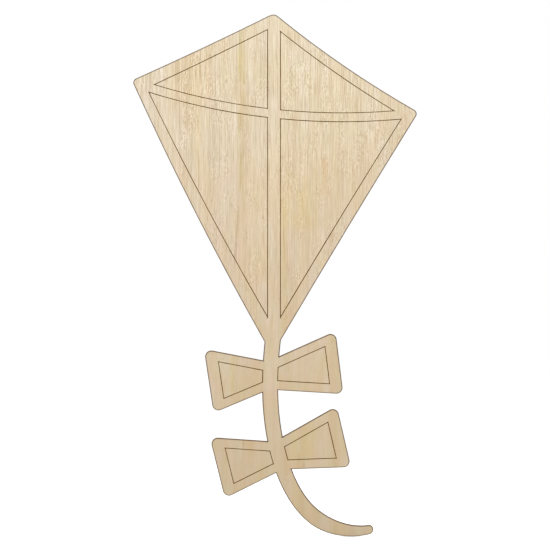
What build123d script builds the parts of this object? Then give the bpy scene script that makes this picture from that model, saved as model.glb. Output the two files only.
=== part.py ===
from build123d import *
import os

# Diamond kite cut-out: a flat craft blank, laser-cut from thin three-ply plywood.
#
# The outline is a diamond kite whose foot runs into a curling tail with two bows on it. The board is
# three veneers with a glue line between each pair. The face veneer is cut through along the edges of
# the sail and of the bow wings, so it is one lattice (rails, spars, tail and bow hems) with eight
# panels set in it, all of them held by the front glue line.
#
# Frame: +Z towards the nose and +X to the right, seen from the front. The face looks along -Y. The
# origin is where the two spars cross, on the back face. All sizes are in millimetres.

# The board's layers, each with its depth from the back face.
veneer_thickness = 0.8
glue_thickness = 0.1
core_thickness = 1.4
back_glue_depth = veneer_thickness
core_depth = back_glue_depth + glue_thickness
front_glue_depth = core_depth + core_thickness
face_depth = front_glue_depth + glue_thickness

# The laser's cut around each panel.
kerf = 0.15

# Outer corners of the kite. A side's sagitta is how far its middle stands out from a straight line
# between its corners: positive swells outwards, negative pinches inwards.
nose = (0.05, 30.6)
left_tip = (-43.3, 10.15)
foot = (-0.6, -73.5)
right_tip = (44.0, 0.45)
upper_left_sagitta = -0.25
lower_left_sagitta = 1.1
lower_right_sagitta = -0.25
upper_right_sagitta = -1.15
nose_radius = 2.3
side_tip_radius = 1.4

# The same for the sail, inside the rails.
sail_nose = (0, 26.6)
sail_left = (-38.7, 7.8)
sail_foot = (0, -65.25)
sail_right = (39.25, -0.75)
sail_upper_left_sagitta = -0.2
sail_lower_left_sagitta = 0.85
sail_lower_right_sagitta = -0.25
sail_upper_right_sagitta = -0.9

# The upright spar is straight. The cross spar is an arc through the origin, centred high above it.
spar_width = 3.9
cross_spar_width = 2.7
cross_spar_centre = (20.8, 194.9)
cross_spar_radius = 196.0

# The tail is a ribbon about a curve from inside the kite's foot. It narrows along its last stretch.
tail_path = (
    (-0.2, -67.5),
    (-1.15, -79.7),
    (-0.8, -91.4),
    (0.95, -102.0),
    (4.8, -113.0),
    (12.95, -123.2),
    (21.95, -126.75),
    (30.2, -126.3),
)
tail_width = 4.9
tail_tip_width = 2.65
tail_taper_start = 0.8
tail_stations = 18
tail_top_radius = 1.15
tail_bottom_radius = 1.45

# Bow wings, as four corners each: outer upper, outer lower, then lower and upper at the tail.
bow_wings = {
    "upper_bow_left": ((-21.35, -71.6), (-18.45, -91.15), (-1.1, -83.9), (-1.1, -75.5)),
    "upper_bow_right": ((18.75, -66.15), (21.15, -85.4), (-1.1, -84.05), (-1.1, -75.0)),
    "lower_bow_left": ((-19.6, -98.45), (-15.0, -117.2), (1.05, -109.2), (1.05, -99.85)),
    "lower_bow_right": ((19.15, -88.9), (23.5, -107.6), (1.05, -108.4), (1.05, -99.15)),
}
wing_corner_radius = 1.9
end_hem = 3.8
side_hem = 2.95
tail_overlap = 0.15


def kite_shape(corners, sagittas):
    """A four-sided face through nose, left tip, foot and right tip, with a shallow arc for each side."""
    with BuildSketch() as shape:
        with BuildLine():
            for start, end, sagitta in zip(corners, corners[1:] + corners[:1], sagittas):
                SagittaArc(start, end, -sagitta)
        make_face()
    return shape.sketch


def tail_shape(margin=0.0):
    """The tail's ribbon, with each long edge moved outwards by the margin."""
    with BuildLine(mode=Mode.PRIVATE):
        centre = Spline(*tail_path)
    left_edge = []
    right_edge = []
    for station in range(tail_stations + 1):
        along = station / tail_stations
        taper = max(0.0, (along - tail_taper_start) / (1 - tail_taper_start))
        half_width = (tail_width + taper * (tail_tip_width - tail_width)) / 2 + margin
        across = (centre % along).rotate(Axis.Z, 90) * half_width
        left_edge.append(centre @ along - across)
        right_edge.append(centre @ along + across)
    with BuildSketch() as shape:
        with BuildLine():
            Spline(*left_edge)
            Line(left_edge[-1], right_edge[-1])
            Spline(*right_edge)
            Line(left_edge[0], right_edge[0])
        make_face()
        fillet(shape.vertices().sort_by_distance(left_edge[-1])[0], tail_bottom_radius + margin)
        fillet(shape.vertices().sort_by_distance(right_edge[-1])[0], tail_top_radius + margin)
    return shape.sketch


def inset(corners, margins):
    """The corners of a polygon whose sides are each moved inwards by their own margin."""
    centre = sum((Vector(corner) for corner in corners), Vector()) / len(corners)
    sides = []
    for start, end, margin in zip(corners, corners[1:] + corners[:1], margins):
        along = (Vector(end) - Vector(start)).normalized()
        inwards = along.rotate(Axis.Z, 90)
        if inwards.dot(centre - Vector(start)) < 0:
            inwards = -inwards
        sides.append((Vector(start) + inwards * margin, along, inwards))
    moved = []
    for (point, along, _), (next_point, _, next_inwards) in zip(sides[-1:] + sides[:-1], sides):
        moved.append(point + along * ((next_point - point).dot(next_inwards) / along.dot(next_inwards)))
    return moved


def polygon_shape(corners):
    """A straight-sided face through the corners."""
    with BuildSketch() as shape:
        with BuildLine():
            Polyline(*corners, close=True)
        make_face()
    return shape.sketch


def sail_regions(growth):
    """The sail inside its rails, parted by the two spars, with every edge moved outwards by growth."""
    upright_spar = spar_width - 2 * growth
    half_cross_spar = cross_spar_width / 2 - growth
    with BuildSketch() as regions:
        add(kite_shape(
            (sail_nose, sail_left, sail_foot, sail_right),
            (sail_upper_left_sagitta, sail_lower_left_sagitta, sail_lower_right_sagitta, sail_upper_right_sagitta),
        ))
        offset(amount=growth)
        Rectangle(upright_spar, 4 * abs(sail_foot[1]), mode=Mode.SUBTRACT)
        with BuildSketch(mode=Mode.PRIVATE) as cross_spar:
            with Locations(cross_spar_centre):
                Circle(cross_spar_radius + half_cross_spar)
                Circle(cross_spar_radius - half_cross_spar, mode=Mode.SUBTRACT)
        add(cross_spar.sketch, mode=Mode.SUBTRACT)
    return regions.sketch


def wing_regions(growth):
    """The bow wings inside their hems and clear of the tail, with every edge moved outwards by growth."""
    with BuildSketch() as regions:
        for wing_corners in bow_wings.values():
            margins = (end_hem - growth, side_hem - growth, 0, side_hem - growth)
            add(polygon_shape(inset(wing_corners, margins)))
        add(tail_shape(-tail_overlap - growth), mode=Mode.SUBTRACT)
    return regions.sketch


# The whole outline: kite, tail and bow wings run together.
with BuildSketch() as outline:
    with BuildSketch(mode=Mode.PRIVATE) as kite_blank:
        add(kite_shape(
            (nose, left_tip, foot, right_tip),
            (upper_left_sagitta, lower_left_sagitta, lower_right_sagitta, upper_right_sagitta),
        ))
        fillet(kite_blank.vertices().sort_by(Axis.Y)[-1], nose_radius)
        fillet(kite_blank.vertices().sort_by(Axis.X)[0], side_tip_radius)
        fillet(kite_blank.vertices().sort_by(Axis.X)[-1], side_tip_radius)
    add(kite_blank.sketch)
    add(tail_shape())
    for wing_corners in bow_wings.values():
        with BuildSketch(mode=Mode.PRIVATE) as wing_blank:
            add(polygon_shape(wing_corners))
            fillet(wing_blank.vertices().sort_by(lambda corner: abs(corner.X))[2:], wing_corner_radius)
        add(wing_blank.sketch)

# The four layers under the face, from the back forwards, all with the whole outline.
with BuildPart() as back_veneer:
    with BuildSketch(Plane.XZ):
        add(outline.sketch)
    extrude(amount=veneer_thickness)
back_veneer.part.label = "back_veneer"

with BuildPart() as back_glue_line:
    with BuildSketch(Plane.XZ.offset(back_glue_depth)):
        add(outline.sketch)
    extrude(amount=glue_thickness)
back_glue_line.part.label = "back_glue_line"

with BuildPart() as core_veneer:
    with BuildSketch(Plane.XZ.offset(core_depth)):
        add(outline.sketch)
    extrude(amount=core_thickness)
core_veneer.part.label = "core_veneer"

with BuildPart() as front_glue_line:
    with BuildSketch(Plane.XZ.offset(front_glue_depth)):
        add(outline.sketch)
    extrude(amount=glue_thickness)
front_glue_line.part.label = "front_glue_line"

# The face veneer's lattice: the whole outline with an opening for each panel, half a kerf larger.
with BuildPart() as front_veneer_frame:
    with BuildSketch(Plane.XZ.offset(face_depth)):
        add(outline.sketch)
        add(sail_regions(kerf / 2), mode=Mode.SUBTRACT)
        add(wing_regions(kerf / 2), mode=Mode.SUBTRACT)
    extrude(amount=veneer_thickness)
front_veneer_frame.part.label = "front_veneer_frame"


def face_panel(region, name):
    """A panel of the face veneer over a region of the sail or of a bow."""
    with BuildPart() as panel:
        with BuildSketch(Plane.XZ.offset(face_depth)):
            add(region)
        extrude(amount=veneer_thickness)
    panel.part.label = name
    return panel.part


# The eight panels, each half a kerf smaller than its region.
sail_faces = sail_regions(-kerf / 2).faces().sort_by(Axis.Y)
wing_faces = wing_regions(-kerf / 2).faces().sort_by(Axis.Y)
lower_sail = sail_faces[:2].sort_by(Axis.X)
upper_sail = sail_faces[2:].sort_by(Axis.X)
lower_bow = wing_faces[:2].sort_by(Axis.X)
upper_bow = wing_faces[2:].sort_by(Axis.X)
panels = [
    face_panel(upper_sail[0], "upper_left_sail_panel"),
    face_panel(upper_sail[1], "upper_right_sail_panel"),
    face_panel(lower_sail[0], "lower_left_sail_panel"),
    face_panel(lower_sail[1], "lower_right_sail_panel"),
    face_panel(upper_bow[0], "upper_bow_left_panel"),
    face_panel(upper_bow[1], "upper_bow_right_panel"),
    face_panel(lower_bow[0], "lower_bow_left_panel"),
    face_panel(lower_bow[1], "lower_bow_right_panel"),
]

os.makedirs("parts", exist_ok=True)
export_step(back_veneer.part, "parts/back_veneer.step")
export_step(back_glue_line.part, "parts/back_glue_line.step")
export_step(core_veneer.part, "parts/core_veneer.step")
export_step(front_glue_line.part, "parts/front_glue_line.step")
export_step(front_veneer_frame.part, "parts/front_veneer_frame.step")
for panel in panels:
    export_step(panel, f"parts/{panel.label}.step")
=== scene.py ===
import math

import bpy
import numpy as np
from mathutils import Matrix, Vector, kdtree
from mathutils.geometry import delaunay_2d_cdt


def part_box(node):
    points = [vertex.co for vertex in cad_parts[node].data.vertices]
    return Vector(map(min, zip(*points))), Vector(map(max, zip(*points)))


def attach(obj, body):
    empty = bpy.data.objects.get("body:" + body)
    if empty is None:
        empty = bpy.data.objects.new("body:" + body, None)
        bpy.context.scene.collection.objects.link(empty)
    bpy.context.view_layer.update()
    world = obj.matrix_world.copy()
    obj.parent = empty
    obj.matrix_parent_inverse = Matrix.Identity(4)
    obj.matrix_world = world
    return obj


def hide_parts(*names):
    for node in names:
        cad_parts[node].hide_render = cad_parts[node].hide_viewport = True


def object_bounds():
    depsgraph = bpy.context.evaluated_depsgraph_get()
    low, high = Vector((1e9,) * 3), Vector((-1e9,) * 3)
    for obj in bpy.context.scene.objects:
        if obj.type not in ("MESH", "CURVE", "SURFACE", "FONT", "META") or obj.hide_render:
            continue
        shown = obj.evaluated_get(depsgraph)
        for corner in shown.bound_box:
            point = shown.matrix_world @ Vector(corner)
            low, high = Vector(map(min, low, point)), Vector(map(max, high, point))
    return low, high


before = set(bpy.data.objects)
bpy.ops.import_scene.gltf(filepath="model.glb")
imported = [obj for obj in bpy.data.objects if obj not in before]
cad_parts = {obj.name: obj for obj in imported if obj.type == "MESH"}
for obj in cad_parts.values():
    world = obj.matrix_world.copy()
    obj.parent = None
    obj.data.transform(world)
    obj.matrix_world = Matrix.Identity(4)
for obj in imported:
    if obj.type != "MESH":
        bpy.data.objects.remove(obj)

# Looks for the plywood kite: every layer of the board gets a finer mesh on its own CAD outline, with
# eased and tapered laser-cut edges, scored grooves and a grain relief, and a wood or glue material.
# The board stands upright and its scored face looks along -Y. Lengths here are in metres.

CAD_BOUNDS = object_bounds()
MM = 0.001

# How finely the layers are meshed: along the cut walls, and across and along the grain on the faces. An
# outline's point where it turns by more than the corner turn is always kept.
COARSE = 1
WALL_STEP = 0.25 * MM * COARSE
ACROSS_GRAIN = 0.3 * MM * COARSE
ALONG_GRAIN = 1.6 * MM * COARSE
CORNER_TURN = math.radians(25)

# What the laser leaves. The outline's wall leans in towards the front by the taper. A score is as wide as
# the CAD kerf at the face, and its walls close in to a hair's width a little way down. Rims are eased,
# and browned for a short way over the face, and walls are rippled.
OUTLINE_TAPER = 0.13 * MM
SCORE_CLOSING = 0.065 * MM
SCORE_DEPTH = 0.2 * MM
OUTLINE_CHAR = 0.15 * MM
SCORE_CHAR = 0.03 * MM
EASED_EDGE = 0.02 * MM
EASED_DEPTH = 1.5 * EASED_EDGE
WALL_RIPPLE = 0.02 * MM
RIPPLE_SIZE = 0.3 * MM
RIPPLE_LAG = 0.25 * MM
GLUE_RECESS = 0.035 * MM

# Rings down a layer's wall, as shares of its thickness. Rows of points beside a shown rim, as shares of
# the char's reach, and the strip along the rim that no other point comes into.
WALL_RINGS = (0.22, 0.44, 0.75)
RIM_ROWS = (0.5, 1.1, 2.5)
RIM_STRIP = 0.4

# What a mesh's soot attribute holds: nothing in a score, some on the outline's wall, most at its rims.
SCORE_SOOT = 0.0
WALL_SOOT = 0.5
RIM_SOOT = 1.0

# The sanded faces still follow the grain: hollows up to this deep, this wide and this long.
FACE_RELIEF = 0.012 * MM
RELIEF_WIDTH = 0.5 * MM
RELIEF_LENGTH = 6 * MM

# Points nearer than this are one point, and a vertex this near a node's front lies on it.
WELD = MM / 10000
ON_FRONT = MM / 100

# delaunay_2d_cdt's output type that keeps only what the outlines enclose, holes included, and the
# distance in millimetres at which it merges points.
INSIDE = 1
MERGED = 1e-7

# Edges of a mesh that turn by more than this are shaded as sharp.
SHARP_ANGLE = math.radians(40)

PANELS = (
    "upper_left_sail_panel",
    "upper_right_sail_panel",
    "lower_left_sail_panel",
    "lower_right_sail_panel",
    "upper_bow_left_panel",
    "upper_bow_right_panel",
    "lower_bow_left_panel",
    "lower_bow_right_panel",
)
BOARD_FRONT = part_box("front_veneer_frame")[0].y
BOARD_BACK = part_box("back_veneer")[1].y


# ---------------------------------------------------------------------------------------------------
# Outlines of the CAD layers
# ---------------------------------------------------------------------------------------------------

def outline_loops(node):
    """The closed outlines of a flat node's front face, as arrays of (x, z), the wood on their left."""
    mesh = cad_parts[node].data
    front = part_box(node)[0].y
    welded = {}
    places = []
    directed = set()

    def weld(point):
        key = (round(point.x / WELD), round(point.z / WELD))
        if key not in welded:
            welded[key] = len(places)
            places.append((point.x, point.z))
        return welded[key]

    for face in mesh.polygons:
        corners = [mesh.vertices[index].co for index in face.vertices]
        if max(corner.y for corner in corners) > front + ON_FRONT:
            continue
        ids = [weld(corner) for corner in corners]
        for start, end in zip(ids, ids[1:] + ids[:1]):
            if start != end:
                directed.add((start, end))
    following = {start: end for start, end in directed if (end, start) not in directed}
    loops = []
    while following:
        start, here = following.popitem()
        loop = [start]
        while here != start:
            loop.append(here)
            here = following.pop(here)
        loops.append(np.array([places[index] for index in loop]))
    return loops


def resampled(loop, step):
    """The loop with evenly spaced points between its corners, and the corners kept."""
    before = loop - np.roll(loop, 1, axis=0)
    after = np.roll(loop, -1, axis=0) - loop
    turn = np.arctan2(before[:, 0] * after[:, 1] - before[:, 1] * after[:, 0], (before * after).sum(axis=1))
    corners = np.flatnonzero(np.abs(turn) > CORNER_TURN)
    if len(corners) == 0:
        corners = np.array([0])
    points = []
    for corner, next_corner in zip(corners, np.append(corners[1:], corners[0] + len(loop))):
        stretch = loop[np.arange(corner, next_corner + 1) % len(loop)]
        reach = np.append(0, np.cumsum(np.hypot(*np.diff(stretch, axis=0).T)))
        stations = np.linspace(0, reach[-1], max(1, round(reach[-1] / step)) + 1)[:-1]
        points.append(np.column_stack([np.interp(stations, reach, stretch[:, axis]) for axis in (0, 1)]))
    return np.concatenate(points)


def inward_normals(loop):
    """At each point, the step into the wood that moves both its edges inwards by one."""
    along = np.roll(loop, -1, axis=0) - loop
    along /= np.hypot(*along.T)[:, None]
    edge_normals = np.column_stack([-along[:, 1], along[:, 0]])
    summed = edge_normals + np.roll(edge_normals, 1, axis=0)
    return 2 * summed / (summed ** 2).sum(axis=1)[:, None]


def runs_round_hole(loop):
    """Whether the loop is the edge of a hole, with the wood outside it."""
    after = np.roll(loop, -1, axis=0)
    return (after[:, 1] * loop[:, 0]).sum() < (after[:, 0] * loop[:, 1]).sum()


def loop_edges(loops):
    """The loops' edges, as pairs of indices into all their points."""
    edges = []
    for loop in loops:
        first = len(edges)
        edges += [(first + step, first + (step + 1) % len(loop)) for step in range(len(loop))]
    return edges


# ---------------------------------------------------------------------------------------------------
# Meshes of the layers
# ---------------------------------------------------------------------------------------------------

def smooth_noise(x, z, width, length, seed):
    """Smooth noise from -1 to 1 whose lumps are about width by length, the same on every run."""
    cells = 256
    table = np.random.default_rng(seed).uniform(-1, 1, (cells, cells))
    across, up = x / width + 2 * cells, z / length + 2 * cells
    column, row = np.floor(across).astype(int), np.floor(up).astype(int)
    across, up = across - column, up - row
    across = across * across * (3 - 2 * across)
    up = up * up * (3 - 2 * up)

    def corner(column_step, row_step):
        return table[(column + column_step) % cells, (row + row_step) % cells]

    lower = corner(0, 0) * (1 - across) + corner(1, 0) * across
    upper = corner(0, 1) * (1 - across) + corner(1, 1) * across
    return lower * (1 - up) + upper * up


def on_wood(points, loops):
    """Which of the points lie inside the loops and outside their holes."""
    starts = np.concatenate(loops)
    ends = np.concatenate([np.roll(loop, -1, axis=0) for loop in loops])
    crossings = np.zeros(len(points), int)
    for start, end in zip(starts, ends):
        if start[0] != end[0]:
            level = start[1] + (points[:, 0] - start[0]) * (end[1] - start[1]) / (end[0] - start[0])
            spans = (start[0] > points[:, 0]) != (end[0] > points[:, 0])
            crossings += spans & (points[:, 1] < level)
    return crossings % 2 == 1


def fibre_columns(loops, clearance):
    """Points in staggered columns along the grain, over the wood inside the loops and clear of their ends."""
    starts = np.concatenate(loops)
    ends = np.concatenate([np.roll(loop, -1, axis=0) for loop in loops])
    points = []
    lowest, highest = starts[:, 0].min(), starts[:, 0].max()
    for number, x in enumerate(np.arange(lowest + ACROSS_GRAIN, highest, ACROSS_GRAIN)):
        crosses = (starts[:, 0] > x) != (ends[:, 0] > x)
        share = (x - starts[crosses, 0]) / (ends[crosses, 0] - starts[crosses, 0])
        heights = np.sort(starts[crosses, 1] + share * (ends[crosses, 1] - starts[crosses, 1]))
        shift = (number % 3) / 3 * ALONG_GRAIN
        for low, high in zip(heights[::2], heights[1::2]):
            first = math.ceil((low + clearance - shift) / ALONG_GRAIN) * ALONG_GRAIN + shift
            points += [(x, z) for z in np.arange(first, high - clearance, ALONG_GRAIN)]
    return np.array(points).reshape(-1, 2)


def face_points(loops, reaches):
    """Points to mesh a face with, closer together beside its rim.

    Also how browned the wood is at each, and which loop is nearest to it.
    """
    rims = [resampled(loop, WALL_STEP / 2) for loop in loops]
    tree = kdtree.KDTree(sum(len(rim) for rim in rims))
    rim_loop = []
    for number, rim in enumerate(rims):
        for x, z in rim:
            tree.insert((x, z, 0), len(rim_loop))
            rim_loop.append(number)
    tree.balance()
    bands = []
    for loop, reach in zip(loops, reaches):
        bands += [loop + inward_normals(loop) * reach * share for share in RIM_ROWS]
    bands = np.concatenate(bands)
    candidates = np.concatenate([bands[on_wood(bands, loops)], fibre_columns(loops, 2 * max(reaches))])
    kept = []
    browned = []
    nearest = []
    for x, z in candidates:
        _, index, distance = tree.find((x, z, 0))
        reach = reaches[rim_loop[index]]
        if distance > RIM_STRIP * reach:
            kept.append((x, z))
            browned.append(math.exp(-(distance / reach) ** 2))
            nearest.append(rim_loop[index])
    return np.array(kept), browned, nearest


def outline_recess(y):
    """How far the outline's wall stands back from the CAD outline at a depth in the board."""
    return OUTLINE_TAPER * (BOARD_BACK - y) / (BOARD_BACK - BOARD_FRONT)


def score_recess(y):
    """How far a score's wall stands back from the CAD kerf at a depth in the board."""
    return -SCORE_CLOSING * min(1, (y - BOARD_FRONT) / SCORE_DEPTH)


def cap(loops, inner):
    """Triangles over the wood inside the loops, as indices into the loops' points and then the inner ones.

    A triangle with all three corners on the loops may span a hole, and is then left out.
    """
    points = np.concatenate(loops + [inner])
    edges = loop_edges(loops)
    flat = [Vector(point) for point in points / MM]
    _, _, faces, origins, _, _ = delaunay_2d_cdt(flat, edges, [], INSIDE, MERGED)
    triangles = np.array([[origins[corner][0] for corner in face] for face in faces])
    doubtful = np.flatnonzero((triangles < len(edges)).all(axis=1))
    in_a_hole = ~on_wood(points[triangles[doubtful]].mean(axis=1), loops)
    return np.delete(triangles, doubtful[in_a_hole], axis=0)


def wall_rings(loops, scored, profile, seed):
    """The loops moved in to the cut wall, at each depth of its profile.

    Its ripples lag behind the laser more and more towards the back.
    """
    normals = [inward_normals(loop) for loop in loops]
    rings = []
    for y, recess in profile:
        lag = RIPPLE_LAG * ((y - BOARD_FRONT) / (BOARD_BACK - BOARD_FRONT)) ** 2
        ring = []
        for loop, normal, score in zip(loops, normals, scored):
            along = np.column_stack([normal[:, 1], -normal[:, 0]])
            felt = loop + along * lag
            ripple = WALL_RIPPLE * (1 + smooth_noise(*felt.T, RIPPLE_SIZE, RIPPLE_SIZE, seed)) / 2
            inset = (score_recess(y) if score else outline_recess(y)) + recess + ripple
            ring.append(loop + normal * inset[:, None])
        rings.append(ring)
    return rings


def layer_piece(name, node, profile, seed, show_front=False, show_back=False):
    """A finer, closed mesh for one CAD layer.

    The profile lists the rings of its cut wall as (depth, recess), from front to back. A shown side
    gets a grain relief and a browned rim, and a hidden one is flat.
    """
    loops = [resampled(loop, WALL_STEP) for loop in outline_loops(node)]
    scored = [runs_round_hole(loop) or node in PANELS for loop in loops]
    reaches = [SCORE_CHAR if score else OUTLINE_CHAR for score in scored]
    rings = wall_rings(loops, scored, profile, seed)

    vertices = []
    brown = []
    sooty = []
    for depth, (ring, (y, _)) in enumerate(zip(rings, profile)):
        outline_soot = RIM_SOOT if depth in (0, len(rings) - 1) else WALL_SOOT
        for loop, score in zip(ring, scored):
            vertices += [(x, y, z) for x, z in loop]
            brown += [1.0] * len(loop)
            sooty += [SCORE_SOOT if score else outline_soot] * len(loop)

    ring_size = len(vertices) // len(rings)
    edges = loop_edges(loops)
    faces = []
    for depth in range(len(rings) - 1):
        near, far = depth * ring_size, (depth + 1) * ring_size
        faces += [(near + start, far + start, far + end, near + end) for start, end in edges]

    for depth, shown, outwards in ((0, show_front, -1), (len(rings) - 1, show_back, 1)):
        rim = rings[depth]
        y = profile[depth][0]
        inner, browned, nearest = face_points(rim, reaches) if shown else (np.empty((0, 2)), [], [])
        first_inner = len(vertices)
        hollows = FACE_RELIEF * (1 + smooth_noise(*inner.T, RELIEF_WIDTH, RELIEF_LENGTH, seed)) / 2
        for (x, z), hollow, share, number in zip(inner, hollows, browned, nearest):
            vertices.append((x, y - outwards * hollow * (1 - share), z))
            brown.append(share)
            sooty.append(SCORE_SOOT if scored[number] else RIM_SOOT)
        triangles = cap(rim, inner)
        triangles += np.where(triangles < ring_size, depth * ring_size, first_inner - ring_size)
        faces += (triangles if outwards < 0 else triangles[:, ::-1]).tolist()

    mesh = bpy.data.meshes.new(name)
    mesh.from_pydata(vertices, [], faces)
    mesh.validate()
    mesh.attributes.new("char", "FLOAT", "POINT").data.foreach_set("value", brown)
    mesh.attributes.new("soot", "FLOAT", "POINT").data.foreach_set("value", sooty)
    mesh.shade_smooth()
    mesh.set_sharp_from_angle(angle=SHARP_ANGLE)
    piece = bpy.data.objects.new(name, mesh)
    bpy.context.scene.collection.objects.link(piece)
    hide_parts(node)
    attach(piece, "root")
    return piece


# ---------------------------------------------------------------------------------------------------
# Materials
# ---------------------------------------------------------------------------------------------------

def colour(red, green, blue):
    """A scene colour from screen values of 0 to 255."""
    screen = [value / 255 for value in (red, green, blue)]
    return tuple(v / 12.92 if v < 0.04045 else ((v + 0.055) / 1.055) ** 2.4 for v in screen) + (1.0,)


# Tints multiply a wood colour.
NO_TINT = (1.0, 1.0, 1.0, 1.0)
WARM = (0.99, 0.965, 0.9, 1.0)
COOL = (1.01, 1.035, 1.105, 1.0)
PINK = (1.015, 0.988, 1.018, 1.0)
GREEN = (0.985, 1.012, 0.982, 1.0)
TOAST = (0.9, 0.78, 0.5, 1.0)
OCHRE = (0.985, 0.965, 0.83, 1.0)
RUSSET = (0.99, 0.93, 0.85, 1.0)
PALE = (1.0, 1.02, 1.09, 1.0)
OLIVE = (0.87, 0.875, 0.72, 1.0)
YELLOW = (1.0, 0.995, 0.86, 1.0)
TAN = (0.93, 0.9, 0.8, 1.0)
LIGHT = (1.035, 1.04, 1.03, 1.0)
BROWN_LINE = (0.78, 0.72, 0.56, 1.0)
DARK_FIBRE = (0.79, 0.74, 0.66, 1.0)
PALE_FIBRE = (1.17, 1.22, 1.32, 1.0)

# What the laser leaves, as the darkest and the lightest of each: a score's walls, and the outline's
# rims, side grain and end grain.
SCORCH = (colour(104, 70, 10), colour(156, 114, 38))
SOOT = (colour(60, 51, 38), colour(100, 86, 66))
BURNT_SIDE_GRAIN = (colour(122, 82, 42), colour(178, 134, 84))
BURNT_CORE = (colour(84, 54, 28), colour(134, 94, 54))
BURNT_GLUE = (colour(46, 30, 16), colour(84, 56, 30))

# The colours of the bare wood at heights in millimetres, from the lowest up. They darken towards the tail:
# partly the wood turning tan there, and partly painted shade of the light falling off down the board.
FACE_TONES_WITH_PAINTED_SHADE = ((-128, colour(208, 187, 153)), (-40, colour(223, 202, 172)), (25, colour(234, 217, 186)))
CORE_TONES_WITH_PAINTED_SHADE = ((-128, colour(206, 180, 138)), (25, colour(212, 186, 146)))
BACK_TONES_WITH_PAINTED_SHADE = ((-128, colour(214, 193, 160)), (25, colour(228, 208, 176)))

# The grain of a veneer, as a share (x, y, z) of the stretch along each axis.
ALONG_Z = (0, 0.1, 1)
ALONG_X = (1, 0.1, 0)

# Tinted stretches of the face veneer, mostly stains: where across the board at the upper and at the lower
# end, reach to each side, upper end, lower end (all in millimetres), strength and tint.
MAIN_STREAK = (
    (-10.4, -10.8, 0.35, 31, 8, 1.6, OLIVE),
    (-10.8, -10.8, 0.5, 20, 12, 0.9, YELLOW),
    (-9.4, -9.8, 0.5, 13, 1, 1.1, TAN),
    (-10.6, -10.4, 0.4, 1, -8, 0.9, OLIVE),
    (-9.9, -10.4, 0.5, -6, -26, 0.5, OLIVE),
    (-10.6, -11.8, 0.45, -20, -50, 0.75, DARK_FIBRE),
    (-9.6, -9.9, 1.1, 30, -34, 1.3, TAN),
)
SINGLE_FIBRES = (
    (-22.9, -22.9, 0.2, 19, 8, 1.0, DARK_FIBRE),
    (-28.8, -28.5, 0.2, 15, -9, 0.7, DARK_FIBRE),
    (-3.6, -3.6, 0.2, 23, 3, 0.7, DARK_FIBRE),
    (-37.6, -37.6, 0.2, 13, 4, 0.6, DARK_FIBRE),
    (-23.0, -23.0, 0.2, -12, -25, 0.8, DARK_FIBRE),
    (-12.0, -12.0, 0.2, 4, -7, 1.0, PALE_FIBRE),
    (-9.0, -9.0, 0.2, -12, -21, 0.7, PALE_FIBRE),
    (-39.5, -38.5, 0.5, 11, 0, 0.7, PALE_FIBRE),
)
SAIL_STAINS = (
    (-24.0, -24.0, 5.5, 27, 2, 0.8, RUSSET),
    (-21.5, -21.5, 2.5, 28, 14, 0.2, DARK_FIBRE),
    (-9.5, -9.5, 2.8, -27, -54, 0.6, RUSSET),
    (-23.2, -23.2, 0.6, 20, -28, 0.7, OCHRE),
    (-6.5, -3.0, 3.5, -4, -64, 1.1, LIGHT),
    (-37.0, -37.0, 5.0, 22, -10, 1.2, PALE),
    (2.9, 2.9, 1.0, -20, -68, 1.0, OCHRE),
    (8.0, 8.0, 4.5, -16, -37, 1.0, OCHRE),
    (16.0, 16.0, 9.0, 6, -42, 0.45, OCHRE),
    (16.0, 16.0, 1.8, -12, -26, 1.0, RUSSET),
    # A broad lighter patch over the upper right of the sail.
    (20.0, 20.0, 15.0, 30, -14, 0.8, LIGHT),
    (3.0, 2.0, 4.0, -2, -40, 1.2, LIGHT),
)
TAIL_STAINS = (
    (-18.5, -18.5, 3.0, -64, -96, 1.5, PALE),
    (-19.0, -19.0, 3.5, -58, -98, 1.5, LIGHT),
    (-13.2, -13.2, 1.0, -70, -88, 1.0, OCHRE),
    (9.5, 9.5, 4.0, -91, -107, 1.1, OCHRE),
    (8.0, 8.0, 1.5, -102, -111, 0.9, RUSSET),
    (0.0, 0.0, 2.5, -56, -85, 0.9, LIGHT),
    (1.0, 1.0, 3.0, -76, -112, 0.5, RUSSET),
    (-9.0, -9.0, 6.0, -95, -117, 0.6, RUSSET),
    (-14.8, -14.8, 0.8, -103, -116, 0.8, OCHRE),
    (-9.2, -9.2, 0.15, -99.4, -101.6, 1.0, BROWN_LINE),
    (9.5, 9.5, 0.15, -106.2, -108.2, 1.2, BROWN_LINE),
)
FACE_STAINS = MAIN_STREAK + SINGLE_FIBRES + SAIL_STAINS + TAIL_STAINS


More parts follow.
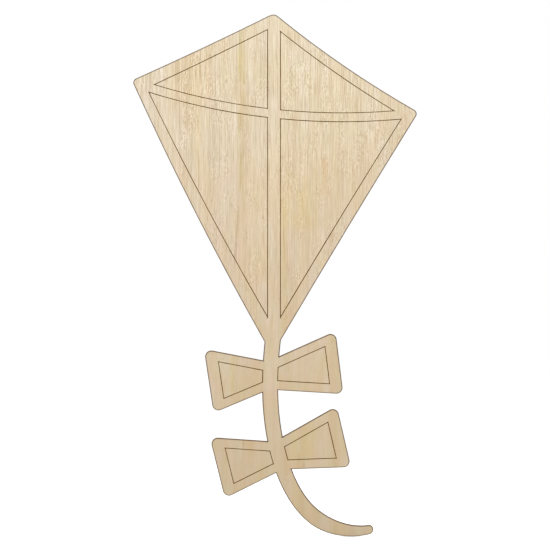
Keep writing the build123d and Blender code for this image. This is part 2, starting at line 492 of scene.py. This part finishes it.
class Shader:
    """A new material, and short ways to add its nodes. Lengths in its textures are in millimetres."""

    def __init__(self, name):
        self.material = bpy.data.materials.new(name)
        self.material.use_nodes = True
        self.tree = self.material.node_tree
        self.surface = self.tree.nodes["Principled BSDF"]
        place = self.node("ShaderNodeTexCoord").outputs["Object"]
        self.place = self.vector("MULTIPLY", place, (1 / MM, 1 / MM, 1 / MM))

    def link(self, value, socket):
        """Feed an input from another node's output, or set it to a plain value."""
        if isinstance(value, bpy.types.NodeSocket):
            self.tree.links.new(value, socket)
        else:
            socket.default_value = value

    def node(self, kind, inputs=(), **settings):
        """A new node, with its settings made and its inputs fed."""
        made = self.tree.nodes.new(kind)
        for name, value in settings.items():
            setattr(made, name, value)
        for key, value in dict(inputs).items():
            self.link(value, made.inputs[key])
        return made

    def vector(self, operation, first, second):
        """The result of arithmetic on two vectors or colours."""
        return self.node("ShaderNodeVectorMath", {0: first, 1: second}, operation=operation).outputs[0]

    def maths(self, operation, first, second=0.0):
        """The result of arithmetic on two numbers."""
        return self.node("ShaderNodeMath", {0: first, 1: second}, operation=operation).outputs[0]

    def weighted(self, value, weight):
        """The value times a weight."""
        return self.maths("MULTIPLY", value, weight)

    def total(self, *values):
        """The sum of the values."""
        result = values[0]
        for value in values[1:]:
            result = self.maths("ADD", result, value)
        return result

    def noise(self, size, detail=0.0, roughness=0.5, seed=0.0, place=None):
        """Noise about 0.5 whose lumps measure size (x, y, z)."""
        stretched = self.vector("DIVIDE", place or self.place, size)
        inputs = {"Vector": stretched, "W": seed, "Scale": 1.0, "Detail": detail, "Roughness": roughness}
        return self.node("ShaderNodeTexNoise", inputs, noise_dimensions="4D").outputs["Fac"]

    def spread(self, value, low, high, to_low=0.0, to_high=1.0, smooth=False):
        """The value moved from one range to another, and held there."""
        inputs = {"Value": value, "From Min": low, "From Max": high, "To Min": to_low, "To Max": to_high}
        kind = "SMOOTHSTEP" if smooth else "LINEAR"
        return self.node("ShaderNodeMapRange", inputs, interpolation_type=kind).outputs["Result"]

    def sparse(self, value, quiet, full):
        """How far noise is from 0.5, as -1 to 1 at the full distance, and zero within the quiet one."""
        above = self.spread(value, 0.5 + quiet, 0.5 + full)
        below = self.spread(value, 0.5 - quiet, 0.5 - full)
        return self.maths("SUBTRACT", above, below)

    def hump(self, value, centre, reach):
        """One at the centre, falling off smoothly on both sides."""
        away = self.maths("DIVIDE", self.maths("SUBTRACT", value, centre), reach)
        return self.maths("EXPONENT", self.weighted(self.weighted(away, away), -1.0))

    def blend(self, share, first, second):
        """The first colour turning into the second as the share goes from 0 to 1."""
        return self.node("ShaderNodeMix", {0: share, 6: first, 7: second}, data_type="RGBA").outputs[2]

    def tinted(self, base, share, tint):
        """The base colour with a share of the tint over it."""
        return self.vector("MULTIPLY", base, self.blend(share, NO_TINT, tint))

    def finish(self, base, roughness, height=None, depth=0.0, specular=0.3):
        """The finished material. A height, where there is one, gives it a bump of that depth."""
        self.link(base, self.surface.inputs["Base Color"])
        self.link(roughness, self.surface.inputs["Roughness"])
        self.link(specular, self.surface.inputs["Specular IOR Level"])
        if height is not None:
            bump = self.node("ShaderNodeBump", {"Height": height, "Distance": depth, "Strength": 1.0})
            self.link(bump.outputs["Normal"], self.surface.inputs["Normal"])
        return self.material


class Veneer(Shader):
    """A wood material whose grain wanders a little to each side on its way."""

    def __init__(self, name, grain, seed):
        super().__init__(name)
        self.grain = grain
        self.seed = seed
        axes = self.node("ShaderNodeSeparateXYZ", {0: self.place})
        self.side = axes.outputs["X"]
        self.height = axes.outputs["Z"]
        bend = self.spread(self.noise((9, 9, 40), detail=1, seed=seed), 0.3, 0.7, -0.5, 0.5)
        self.across = self.maths("ADD", self.side, bend)
        sideways = self.node("ShaderNodeCombineXYZ", {"X": bend}).outputs[0]
        self.bent = self.vector("ADD", self.place, sideways)

    def streaks(self, width, length, number=0, detail=0):
        """Noise whose lumps lie along the grain. Each number gives another pattern."""
        size = tuple(width + (length - width) * share for share in self.grain)
        return self.noise(size, detail=detail, seed=self.seed + number, place=self.bent)


def toned(wood, tones_with_painted_shade):
    """The wood's colour up the board, darker towards the tail partly by painted shade, in bands of warmer,
    cooler, pinker and greener wood.
    """
    (reached, base), *upper_shades = tones_with_painted_shade
    for next_height, shade in upper_shades:
        base = wood.blend(wood.spread(wood.height, reached, next_height), base, shade)
        reached = next_height
    calm = wood.spread(wood.height, -75, -20, 1.0, 0.5)
    for low_tint, high_tint, width, length in ((WARM, COOL, 4, 14), (PINK, GREEN, 3, 8)):
        growth = wood.spread(wood.streaks(width, length, number=width, detail=2), 0.38, 0.62, -1, 1)
        growth = wood.weighted(growth, calm)
        base = wood.tinted(base, wood.maths("MAXIMUM", wood.weighted(growth, -1)), low_tint)
        base = wood.tinted(base, wood.maths("MAXIMUM", growth), high_tint)
    return base


def stained(wood, base, stains):
    """The base colour with each stain over it, patchy along its length and fading out at its ends."""
    for upper_place, lower_place, reach, upper, lower, strength, tint in stains:
        fading = (upper - lower) / 5
        from_lower_end = wood.spread(wood.height, lower, lower + fading)
        from_upper_end = wood.spread(wood.height, upper, upper - fading)
        fade = wood.weighted(from_lower_end, from_upper_end)
        place = wood.spread(wood.height, lower, upper, lower_place, upper_place)
        patchy = wood.spread(wood.streaks(1.2, 9, number=upper_place, detail=1), 0.3, 0.55, 0.2, 1.0)
        share = wood.weighted(wood.hump(wood.across, place, reach), fade)
        base = wood.tinted(base, wood.weighted(share, wood.weighted(patchy, strength)), tint)
    return base


def figured(wood, base, fibre, thread, ray):
    """The base colour with the fine figure over it.

    The figure is plain at the tail and busy at the nose. Its short marks come in patches, and are
    fainter along the middle of the board.
    """
    stub = wood.sparse(wood.streaks(0.15, 1.8, number=6), 0.08, 0.25)
    fleck = wood.sparse(wood.streaks(0.17, 0.7, number=2), 0.09, 0.25)
    glint = wood.spread(wood.streaks(0.26, 1.1, number=4), 0.6, 0.72, smooth=True)
    ring = wood.spread(wood.streaks(2.5, 120, number=5, detail=2), 0.35, 0.65, -1, 1)
    marks = wood.total(stub, wood.weighted(fleck, 1.1), glint, wood.weighted(ray, -0.3), -0.07)
    off_middle = wood.total(1.0, wood.weighted(wood.hump(wood.side, 0, 2), -0.7))
    patches = wood.spread(wood.streaks(3, 8, number=0.5, detail=1), 0.47, 0.63, 0.15, 1.15)
    marks = wood.weighted(wood.weighted(marks, off_middle), patches)
    above_tail = wood.spread(wood.height, -85, -40, 0.15, 0.66)
    near_nose = wood.spread(wood.height, -25, 15, 0, 0.5, smooth=True)
    fine = wood.total(wood.weighted(fibre, 0.75), wood.weighted(thread, 0.85), marks)
    figure = wood.total(
        wood.weighted(fine, wood.total(above_tail, near_nose)),
        wood.weighted(ring, 0.15),
    )
    base = wood.tinted(base, wood.spread(figure, 0, -1), DARK_FIBRE)
    return wood.tinted(base, wood.spread(figure, 0, 1), PALE_FIBRE)


def scorched(wood, base, char, burnt):
    """The base colour, toasted and then browned as the char rises. The soot says how dark the brown is."""
    soot = wood.node("ShaderNodeAttribute", attribute_name="soot").outputs["Fac"]
    fine_uneven = wood.spread(wood.noise((0.3, 4, 0.3), detail=1, seed=wood.seed), 0.35, 0.65)
    broad_uneven = wood.spread(wood.noise((6, 6, 6), detail=2, seed=wood.seed + 7), 0.35, 0.65)
    uneven = wood.total(wood.weighted(fine_uneven, 0.6), wood.weighted(broad_uneven, 0.4))
    brown = wood.blend(uneven, *SCORCH)
    brown = wood.blend(wood.spread(soot, SCORE_SOOT, WALL_SOOT), brown, wood.blend(uneven, *burnt))
    brown = wood.blend(wood.spread(soot, WALL_SOOT, RIM_SOOT), brown, wood.blend(uneven, *SOOT))
    toasting = wood.weighted(wood.spread(char, 0.0, 0.5), wood.maths("SUBTRACT", 1.0, soot))
    base = wood.tinted(base, toasting, TOAST)
    return wood.blend(wood.spread(char, 0.1, 0.9), base, brown)


def veneer_material(name, grain, tones_with_painted_shade, burnt, seed, stains=()):
    """Bare basswood veneer, browned where its mesh says the laser cut it.

    The burnt pair are the outline wall's darkest and lightest colours.
    """
    wood = Veneer(name, grain, seed)
    fibre = wood.spread(wood.streaks(0.16, 26, detail=1), 0.3, 0.7, -1, 1)
    thread = wood.sparse(wood.streaks(0.15, 5, number=1), 0.05, 0.25)
    ray = wood.spread(wood.streaks(0.4, 3, number=3), 0.62, 0.75, smooth=True)
    char = wood.node("ShaderNodeAttribute", attribute_name="char").outputs["Fac"]
    # The colour up the board holds painted shade, darker towards the tail.
    base = toned(wood, tones_with_painted_shade)
    base = stained(wood, base, stains)
    base = figured(wood, base, fibre, thread, ray)
    base = scorched(wood, base, char, burnt)
    rough = wood.total(0.62, wood.weighted(fibre, 0.05), wood.weighted(char, 0.1))
    relief = wood.total(wood.weighted(thread, 0.5), wood.weighted(fibre, 0.5), wood.weighted(ray, -0.8))
    return wood.finish(base, rough, relief, 0.006 * MM, specular=wood.spread(char, 0, 1, 0.3, 0.05))


def glue_material():
    """Cured glue, almost black where the laser went through it."""
    glue = Shader("cut_glue_line")
    grain = glue.noise((0.25, 0.1, 0.25), detail=3, roughness=0.6)
    base = glue.blend(grain, *BURNT_GLUE)
    return glue.finish(base, glue.spread(grain, 0.3, 0.7, 0.45, 0.7), grain, 0.02 * MM)


face_wood = veneer_material("face_veneer", ALONG_Z, FACE_TONES_WITH_PAINTED_SHADE, BURNT_SIDE_GRAIN, seed=3, stains=FACE_STAINS)
core_wood = veneer_material("core_veneer", ALONG_X, CORE_TONES_WITH_PAINTED_SHADE, BURNT_CORE, seed=13)
back_wood = veneer_material("back_veneer", ALONG_Z, BACK_TONES_WITH_PAINTED_SHADE, BURNT_SIDE_GRAIN, seed=23)
resin = glue_material()


# ---------------------------------------------------------------------------------------------------
# The board
# ---------------------------------------------------------------------------------------------------

def wall_profile(node, eased_front=False, eased_back=False, recess=0.0):
    """The rings of a layer's cut wall as (depth, recess), from front to back."""
    front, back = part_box(node)[0].y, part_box(node)[1].y
    rings = [(front + share * (back - front), recess) for share in WALL_RINGS]
    first_rings = [(front, EASED_EDGE), (front + EASED_DEPTH, 0)] if eased_front else [(front, 0)]
    last_rings = [(back - EASED_DEPTH, 0), (back, EASED_EDGE)] if eased_back else [(back, 0)]
    return first_rings + rings + last_rings


def add_layer(name, node, material, seed, recess=0.0, show_front=False, show_back=False):
    """A layer of the board in its material, in place of its CAD node."""
    profile = wall_profile(node, show_front, show_back, recess)
    piece = layer_piece(name, node, profile, seed, show_front, show_back)
    piece.data.materials.append(material)


add_layer("face_lattice", "front_veneer_frame", face_wood, 3, show_front=True)
for panel in PANELS:
    add_layer(panel + "_veneer", panel, face_wood, 3, show_front=True)
add_layer("front_glue", "front_glue_line", resin, 5, recess=GLUE_RECESS)
add_layer("core", "core_veneer", core_wood, 7)
add_layer("back_glue", "back_glue_line", resin, 9, recess=GLUE_RECESS)
add_layer("back_sheet", "back_veneer", back_wood, 27, show_back=True)


# ---------------------------------------------------------------------------------------------------
# Floor, light and camera
# ---------------------------------------------------------------------------------------------------

# In board heights: how far the floor reaches, how wide a lamp is, and how tall the picture is. The camera
# aims a little above the board's middle and looks down very slightly.
FLOOR_REACH = 20
LAMP_WIDTH = 2.5
FRAME_SHARE = 1.053
LAMP_WATTS = 2.4
LENS = 1000
AIM_RISE = 0.2 * MM
LOOKING_DOWN = math.radians(0.5)
WHITE = (1.0, 1.0, 1.0, 1.0)
FLOOR_GREY = (0.9, 0.9, 0.9, 1.0)

scene = bpy.context.scene
low, high = (Vector(corner) for corner in CAD_BOUNDS)
centre = (low + high) / 2
tall = high.z - low.z


def seen_directly(tree, unseen, seen):
    """A strength that differs between what the camera sees and what lights the scene."""
    ray = tree.nodes.new("ShaderNodeLightPath").outputs["Is Camera Ray"]
    strength = tree.nodes.new("ShaderNodeMapRange")
    strength.inputs["To Min"].default_value = unseen
    strength.inputs["To Max"].default_value = seen
    tree.links.new(ray, strength.inputs["Value"])
    return strength.outputs["Result"]


# A white floor, lifted to plain white where the camera sees it, so that only a faint shadow shows.
floor_mesh = bpy.data.meshes.new("floor")
reach = FLOOR_REACH * tall
floor_corners = [(x * reach, y * reach, low.z) for x, y in ((-1, -1), (1, -1), (1, 1), (-1, 1))]
floor_mesh.from_pydata(floor_corners, [], [(0, 1, 2, 3)])
floor = bpy.data.objects.new("floor", floor_mesh)
scene.collection.objects.link(floor)
paper = Shader("pale_floor")
paper.link(seen_directly(paper.tree, unseen=0.1, seen=0.5), paper.surface.inputs["Emission Strength"])
paper.link(WHITE, paper.surface.inputs["Emission Color"])
floor_mesh.materials.append(paper.finish(FLOOR_GREY, 0.9))

world = bpy.data.worlds.new("white_studio")
scene.world = world
world.use_nodes = True
sky = world.node_tree.nodes["Background"]
sky.inputs["Color"].default_value = WHITE
world.node_tree.links.new(seen_directly(world.node_tree, unseen=0.62, seen=1.0), sky.inputs["Strength"])


def soft_light(name, place):
    """A square soft box at a place measured from the board's middle in board heights, facing it."""
    data = bpy.data.lights.new(name, "AREA")
    data.size = LAMP_WIDTH * tall
    data.energy = LAMP_WATTS
    lamp = bpy.data.objects.new(name, data)
    lamp.location = centre + Vector(place) * tall
    lamp.rotation_euler = (centre - lamp.location).to_track_quat("-Z", "Y").to_euler()
    scene.collection.objects.link(lamp)


soft_light("key", (-1.6, -4.2, 3.4))
soft_light("back", (2.5, 4.5, 3.0))

scene.view_settings.view_transform = "Standard"
lens_data = bpy.data.cameras.new("camera")
lens_data.lens = LENS
camera = bpy.data.objects.new("camera", lens_data)
distance = FRAME_SHARE * tall * LENS / lens_data.sensor_width
aim = Vector((centre.x, low.y, centre.z + AIM_RISE))
camera.location = aim + distance * Vector((0, -math.cos(LOOKING_DOWN), math.sin(LOOKING_DOWN)))
camera.rotation_euler = (math.radians(90) - LOOKING_DOWN, 0, 0)
scene.collection.objects.link(camera)
scene.camera = camera
